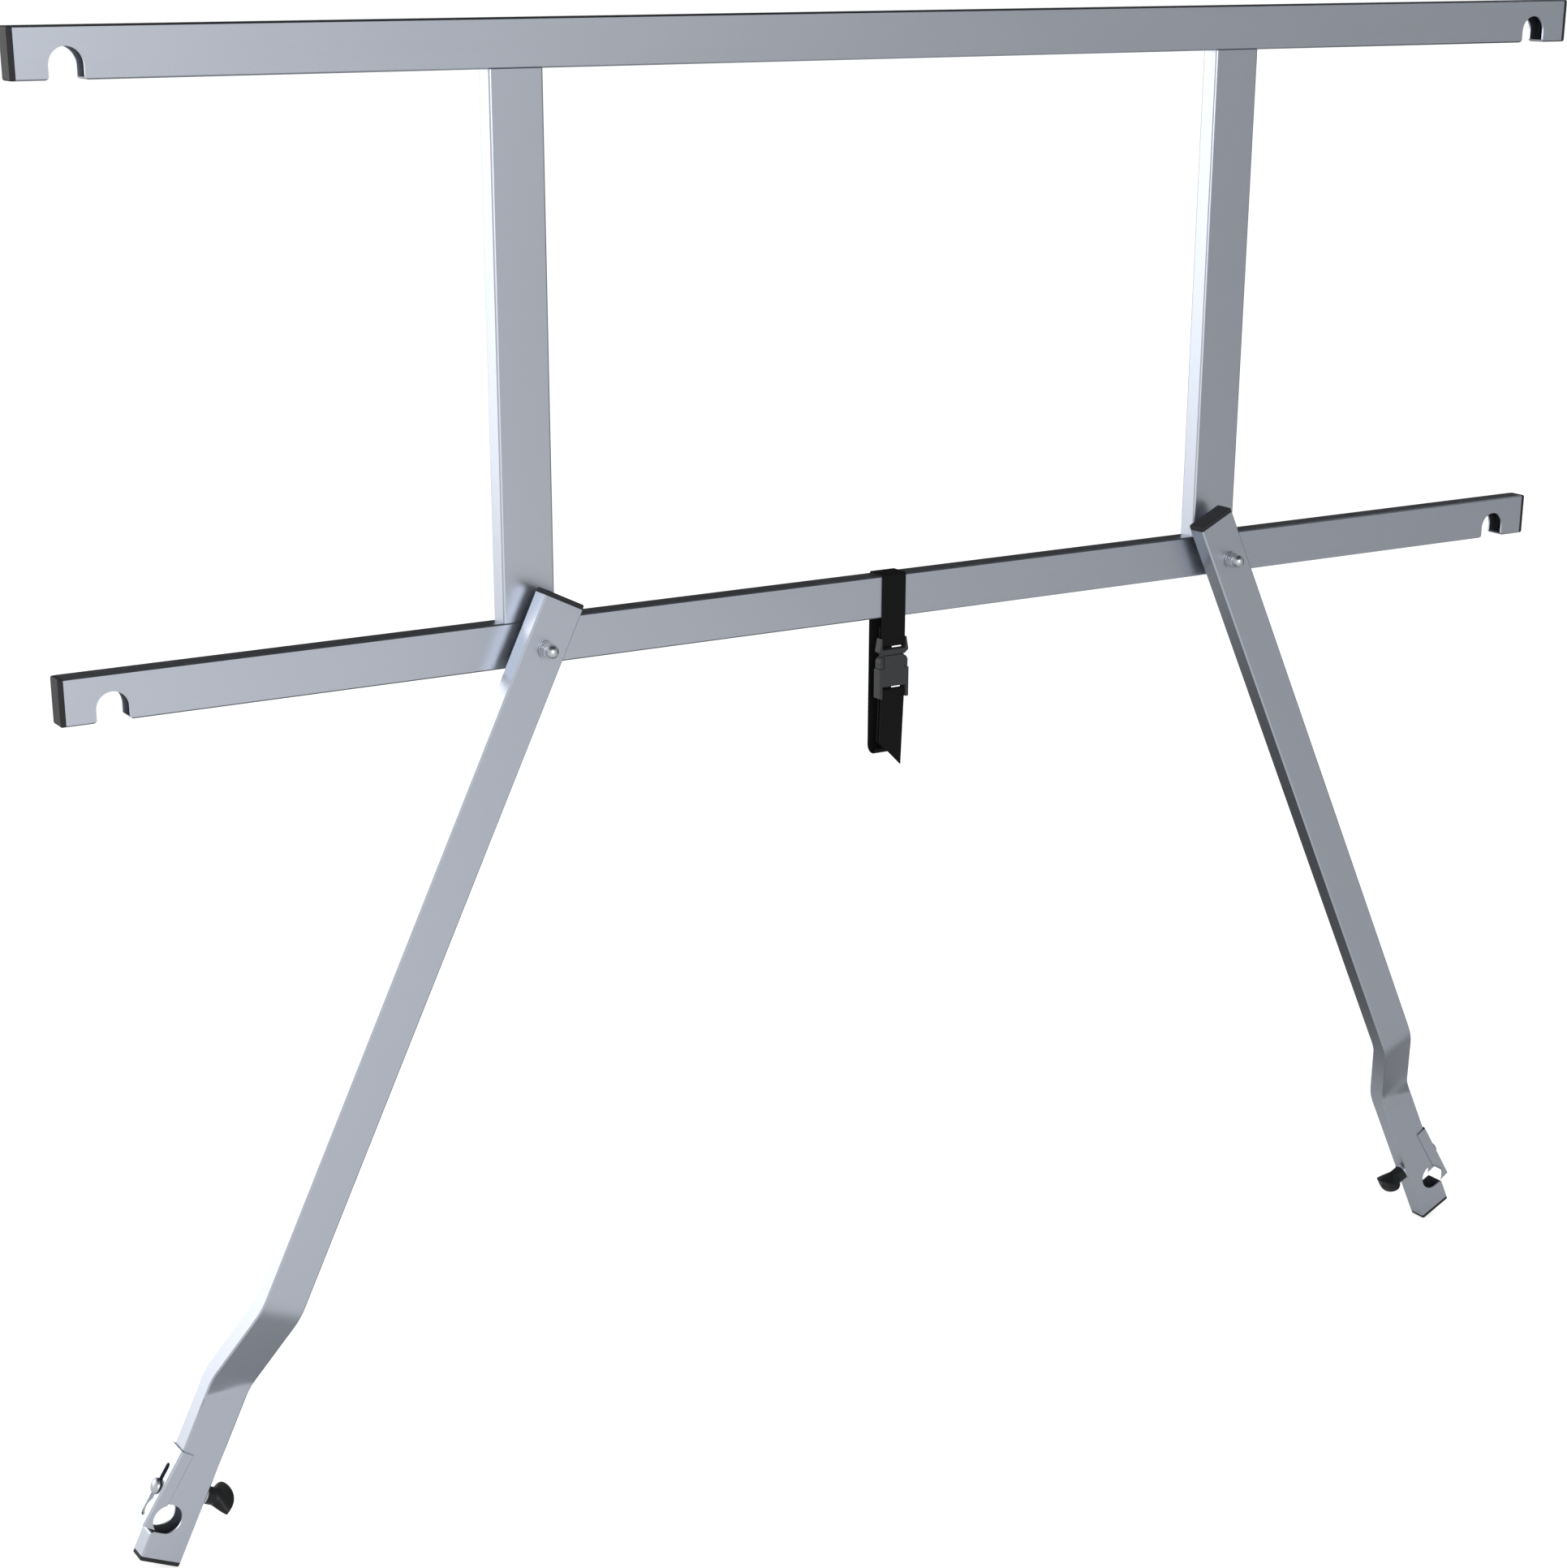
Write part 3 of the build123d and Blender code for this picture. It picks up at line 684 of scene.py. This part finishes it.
# ---------------------------------------------------------------- operators
class FRAME_OT_stage(bpy.types.Operator):
    """Set up the floor, the background, the lamps and the camera"""

    bl_idname = "guard_frame.stage"
    bl_label = "Stage"

    def execute(self, context):
        sizes = context.scene.frame_stage
        deselect_all()
        floor_z = cad_low[2] - sizes.floor_gap
        bpy.ops.mesh.primitive_plane_add(size=sizes.floor_size, location=(0, 0, floor_z))
        floor = context.object
        floor.name = "studio_floor"
        floor_paint = new_material("studio_floor_paint", (0.86, 0.86, 0.86), 0.9)
        tree = floor_paint.node_tree
        shader = shader_of(floor_paint)
        shader.inputs["Specular IOR Level"].default_value = 0.0
        shader.inputs["Emission Color"].default_value = (1, 1, 1, 1)
        link(floor_paint, floor_glow(floor_paint, sizes.floor_lift), shader.inputs["Emission Strength"])
        paint(floor, floor_paint)

        world = bpy.data.worlds.new("studio_room")
        context.scene.world = world
        world.use_nodes = True
        tree = world.node_tree
        background = tree.nodes["Background"]
        background.inputs["Color"].default_value = (1, 1, 1, 1)
        level = tree.nodes.new("ShaderNodeMapRange")
        level.inputs["To Min"].default_value = sizes.room_light
        level.inputs["To Max"].default_value = 1.0
        tree.links.new(seen_rays(tree), level.inputs["Value"])
        tree.links.new(level.outputs["Result"], background.inputs["Strength"])

        middle = (0, 0, -0.5)
        lamp("front_lamp", (-1.6, -4.2, 0.9), middle, 2.4, 90)
        lamp("back_left_lamp", (-3.4, 4.2, -0.1), middle, 3.2, 65)
        for name, place, target, width, height, shade in reflection_cards(floor_z + 0.002):
            flag(name, place, target, width, height, shade)

        camera = bpy.data.cameras.new("studio_camera")
        camera.lens = sizes.lens
        camera.shift_x = sizes.camera_shift[0]
        camera.shift_y = sizes.camera_shift[1]
        eye = bpy.data.objects.new("studio_camera", camera)
        context.scene.collection.objects.link(eye)
        eye.location = sizes.camera_place
        eye.rotation_euler = sizes.camera_turn
        context.scene.camera = eye
        context.scene.view_settings.view_transform = "Standard"
        return {"FINISHED"}


class FRAME_OT_tubes(bpy.types.Operator):
    """Give the rails, uprights and legs their anodised finish"""

    bl_idname = "guard_frame.tubes"
    bl_label = "Tubes"

    def execute(self, context):
        colour = context.scene.frame_finish.tube
        along_rail = brushed_tube("rail_anodised", colour, 0.0)
        upright = brushed_tube("upright_anodised", colour, math.radians(90))
        corner = context.scene.frame_trim.tube_corner
        for node in ("top_rail", "bottom_rail"):
            dress(rounded_tube(node, f"{node}_tube", corner), along_rail, "frame_tube", "frame", node)
        for side in SIDES:
            node = f"{side}_upright"
            dress(rounded_tube(node, f"{node}_tube", corner), upright, "frame_tube", "frame", node)
            leg = finish_along_leg(f"{side}_leg_anodised", colour, side)
            node = f"{side}_leg_tube"
            dress(rounded_tube(node, f"{side}_leg", corner), leg, "leg_tube", f"{side}_leg", node)
        return {"FINISHED"}


def finish_along_leg(name, colour, side):
    """Return a brushed finish with its die lines along one leg."""
    lean = 64 if side == "right" else 116
    return brushed_tube(name, colour, math.radians(lean))


class FRAME_OT_latches(bpy.types.Operator):
    """Make the bent sheet latches of the feet"""

    bl_idname = "guard_frame.latches"
    bl_label = "Latches"

    def execute(self, context):
        colour = context.scene.frame_finish.tube
        edge = context.scene.frame_trim.sheet_edge
        for side in SIDES:
            sheet = finish_along_leg(f"{side}_latch_sheet", colour, side)
            piece = moulded_copy(f"{side}_latch", f"{side}_hook_latch", edge, 1)
            dress(piece, sheet, "latch_sheet", f"{side}_latch", f"{side}_latch")
        return {"FINISHED"}


class FRAME_OT_hardware(bpy.types.Operator):
    """Make the bolts, nuts, washers and spacers"""

    bl_idname = "guard_frame.hardware"
    bl_label = "Hardware"

    def execute(self, context):
        finish = context.scene.frame_finish
        zinc = plated_steel("dull_zinc", finish.zinc, 0.36)
        nylon = moulded_plastic("spacer_nylon", (0.35, 0.35, 0.36), 0.5, 0.001)
        for side in SIDES:
            for node in ("front_washer", "pivot_bolt", "knob_washer"):
                paint(NODES[f"{side}_{node}"], zinc)
            paint(NODES[f"{side}_pivot_spacer"], nylon)
            nut = cap_nut(side)
            dress(nut, zinc, "zinc", "frame", f"{side}_cap_nut")
            bolt = carriage_bolt(side)
            dress(bolt, zinc, "zinc", f"{side}_clamp", f"{side}_clamp_bolt")
        return {"FINISHED"}


def cap_nut(side):
    """A domed nut: a chamfered hexagon with a round cap turned on it."""
    face, front = NUT_SEAT[side]
    deselect_all()
    bpy.ops.mesh.primitive_cylinder_add(vertices=6, radius=0.0075, depth=0.0065, location=(0, 0, 0.00325))
    hexagon = bpy.context.object
    hexagon.name = f"{side}_domed_nut"
    hexagon.data.name = hexagon.name
    apply_place(hexagon)
    round_edges(hexagon, 0.0006, 2)
    cap = turned("nut_cap", [(0, 0.003), (0.0058, 0.003), (0.0058, 0.0092), *dome(0.0058, 0.0092, 0.0150)])
    nut = join(hexagon, cap)
    stand_on(nut, face, front)
    return nut


def dome(radius, low, high, steps=7):
    """Return (radius, height) pairs over a quarter of an ellipse, up to the axis."""
    angles = [math.pi / 2 * step / steps for step in range(1, steps + 1)]
    sides = [(radius * math.cos(angle), low + (high - low) * math.sin(angle)) for angle in angles[:-1]]
    return [*sides, (0.0, high)]


def carriage_bolt(side):
    """A clamp bolt: a smooth mushroom head on a square neck and a round shank."""
    seat, out = HEAD_SEAT[side]
    bolt = turned(f"{side}_carriage_bolt", [(0, 0), (0.0074, 0), *dome(0.0074, 0.0004, 0.004)])
    deselect_all()
    bpy.ops.mesh.primitive_cube_add(
        size=1, location=(0, 0, -NECK_LENGTH / 2), scale=(0.006, 0.006, NECK_LENGTH)
    )
    neck = bpy.context.object
    apply_place(neck)
    shank = turned("bolt_shank", [(0, -BOLT_REACH), (0.003, -BOLT_REACH), (0.003, -0.001), (0, -0.001)])
    stand_on(join(bolt, neck, shank), seat, out)
    return bolt


class FRAME_OT_plugs(bpy.types.Operator):
    """Make the end plugs with rounded lips"""

    bl_idname = "guard_frame.plugs"
    bl_label = "Plugs"

    def execute(self, context):
        finish = context.scene.frame_finish
        edge = context.scene.frame_trim.plug_edge
        material = moulded_plastic("plug_plastic", finish.plastic, 0.55, 0.0006, 0.2)
        for side in SIDES:
            for node, body in (
                ("top_rail_plug", "frame"),
                ("bottom_rail_plug", "frame"),
                ("leg_plug", f"{side}_leg"),
                ("foot_plug", f"{side}_leg"),
            ):
                piece = moulded_copy(f"{side}_{node}", f"{side}_{node}_moulded", edge)
                dress(piece, material, "plug", body, f"{side}_{node}")
        return {"FINISHED"}


class FRAME_OT_buckle(bpy.types.Operator):
    """Make the two moulded halves of the side-release buckle"""

    bl_idname = "guard_frame.buckle"
    bl_label = "Buckle"

    def execute(self, context):
        trim = context.scene.frame_trim
        material = moulded_plastic("buckle_plastic", context.scene.frame_finish.buckle, 0.5, 0.0005, 0.3)
        for node, name in (("buckle_male", "buckle_prongs"), ("buckle_female", "buckle_socket")):
            piece = moulded_copy(node, name, trim.moulded_edge)
            dress(piece, material, "buckle", "frame", node)
        return {"FINISHED"}


class FRAME_OT_knobs(bpy.types.Operator):
    """Make the wing knobs of the clamp bolts"""

    bl_idname = "guard_frame.knobs"
    bl_label = "Knobs"

    def execute(self, context):
        edge = context.scene.frame_trim.wing_edge
        material = moulded_plastic("knob_plastic", context.scene.frame_finish.knob, 0.42, 0.0005, 0.25)
        for side in SIDES:
            knob = wing_knob(f"{side}_wing_knob", edge)
            set_along(knob, *KNOB_SEAT[side])
            dress(knob, material, "knob", f"{side}_knob", f"{side}_knob")
        return {"FINISHED"}


def wing_knob(name, edge):
    """A lens-shaped wing with an arched crown and a dimple, flaring smoothly out of a round hub."""
    wing = flared(name, WING_RINGS)
    front = arc_through(0.0205, 0.0015, 0.0085)
    plan = [(x, y, 0.005) for x, y in (*front, *((-x, -y) for x, y in front))]
    cut(wing, slab("lens", plan, (0, 0, 0.025)), "INTERSECT")
    crown = arc_through(0.0205, 0.0193, 0.027)
    side = [(x, -0.0105, z) for x, z in (*crown, (0.0205, 0.004), (-0.0205, 0.004))]
    cut(wing, slab("crown", side, (0, 0.021, 0)), "INTERSECT")
    deselect_all()
    bpy.ops.mesh.primitive_uv_sphere_add(
        segments=24, ring_count=16, radius=1, location=(0, 0, 0.0272), scale=(0.0046, 0.0022, 0.0022)
    )
    dimple = bpy.context.object
    apply_place(dimple)
    cut(wing, dimple, "DIFFERENCE")
    deselect_all()
    bpy.ops.mesh.primitive_cylinder_add(vertices=32, radius=0.0033, depth=0.018, location=(0, 0, 0.0085))
    cut(wing, bpy.context.object, "DIFFERENCE")
    round_rim(wing, edge)
    bore, hub_radius, hub_top = 0.0033, 0.0083, 0.011
    rim = [(bore, 0), (hub_radius - 0.0004, 0), (hub_radius, 0.0004), (hub_radius, hub_top), (bore, hub_top)]
    return join(wing, turned("hub", [*rim, rim[0]]))


def flared(name, rings, corners=48):
    """A body lofted through oval sections, each extruded from the one below and resized."""
    deselect_all()
    height, length, width = rings[0]
    bpy.ops.mesh.primitive_circle_add(vertices=corners, radius=1, fill_type="NGON", enter_editmode=True)
    piece = bpy.context.object
    piece.name = name
    piece.data.name = name
    bpy.ops.transform.resize(value=(length, width, 1))
    bpy.ops.transform.translate(value=(0, 0, height))
    for below, above in zip(rings, rings[1:]):
        bpy.ops.mesh.extrude_region_move(TRANSFORM_OT_translate={"value": (0, 0, above[0] - below[0])})
        bpy.ops.transform.resize(value=(above[1] / below[1], above[2] / below[2], 1))
    close_mesh()
    return piece


def round_rim(wing, edge):
    """Round the wing's outer edges and leave the hub's end, the dimple and the bore as they are."""
    edges_at(wing, 35, 120)
    corners = wing.data.vertices
    for rim in wing.data.edges:
        low = min(corners[end].co.z for end in rim.vertices)
        far = max(corners[end].co.xy.length for end in rim.vertices)
        rim.select = rim.select and low > 0.0185 and far > 0.006
    bpy.ops.object.mode_set(mode="EDIT")
    bpy.ops.mesh.bevel(offset=edge, segments=3, affect="EDGES", clamp_overlap=True)
    bpy.ops.object.mode_set(mode="OBJECT")
    bpy.ops.object.shade_smooth_by_angle(angle=math.radians(30))


class FRAME_OT_webbing(bpy.types.Operator):
    """Make the strap of flat webbing that hangs from the lower rail"""

    bl_idname = "guard_frame.webbing"
    bl_label = "Webbing"

    def execute(self, context):
        trim = context.scene.frame_trim
        material = woven_yarn("webbing_yarn", context.scene.frame_finish.webbing)
        points = bent(STRAP_CORNERS, STRAP_BENDS)
        band = ribbon("hanging_strap", points, trim.web_width)
        cut_tail(band, trim.web_width, trim.web_cut)
        select_only(band)
        body = band.modifiers.new("Thickness", "SOLIDIFY")
        body.thickness = trim.web_thickness
        body.offset = 0.0
        bpy.ops.object.modifier_apply(modifier="Thickness")
        bpy.ops.object.shade_smooth_by_angle(angle=math.radians(40))
        dress(band, material, "webbing", "frame", "strap")
        return {"FINISHED"}


def cut_tail(band, width, rise):
    """Cut the hanging end on the slant, with its left edge ending higher by a rise."""
    tip = Vector((width / 2, *STRAP_CORNERS[-1]))
    slant = Vector((-rise, 0, -width)).normalized()
    select_only(band)
    bpy.ops.object.mode_set(mode="EDIT")
    bpy.ops.mesh.select_mode(type="FACE")
    bpy.ops.mesh.select_all(action="DESELECT")
    bpy.ops.object.mode_set(mode="OBJECT")
    for face in band.data.polygons:
        face.select = face.center.y < TAIL_FRONT and face.center.z < TAIL_TOP
    bpy.ops.object.mode_set(mode="EDIT")
    bpy.ops.mesh.bisect(plane_co=tip, plane_no=slant, clear_outer=True)
    bpy.ops.object.mode_set(mode="OBJECT")


class FRAME_PT_panel(bpy.types.Panel):
    """Lists the steps that dress the frame"""

    bl_label = "Guard Frame"
    bl_idname = "FRAME_PT_panel"
    bl_space_type = "VIEW_3D"
    bl_region_type = "UI"
    bl_category = "Guard Frame"

    def draw(self, context):
        for step in STEPS:
            self.layout.operator(step.bl_idname)


STEPS = (
    FRAME_OT_stage,
    FRAME_OT_tubes,
    FRAME_OT_latches,
    FRAME_OT_hardware,
    FRAME_OT_plugs,
    FRAME_OT_webbing,
    FRAME_OT_buckle,
    FRAME_OT_knobs,
)
GROUPS = {"frame_finish": FrameFinish, "frame_stage": FrameStage, "frame_trim": FrameTrim}


def register():
    for each in (*GROUPS.values(), *STEPS, FRAME_PT_panel):
        bpy.utils.register_class(each)
    for name, group in GROUPS.items():
        setattr(bpy.types.Scene, name, bpy.props.PointerProperty(type=group))


def unregister():
    for name in GROUPS:
        delattr(bpy.types.Scene, name)
    for each in reversed((*GROUPS.values(), *STEPS, FRAME_PT_panel)):
        bpy.utils.unregister_class(each)


def main():
    register()
    for step in STEPS:
        prefix, action = step.bl_idname.split(".")
        getattr(getattr(bpy.ops, prefix), action)()


if __name__ == "__main__":
    main()
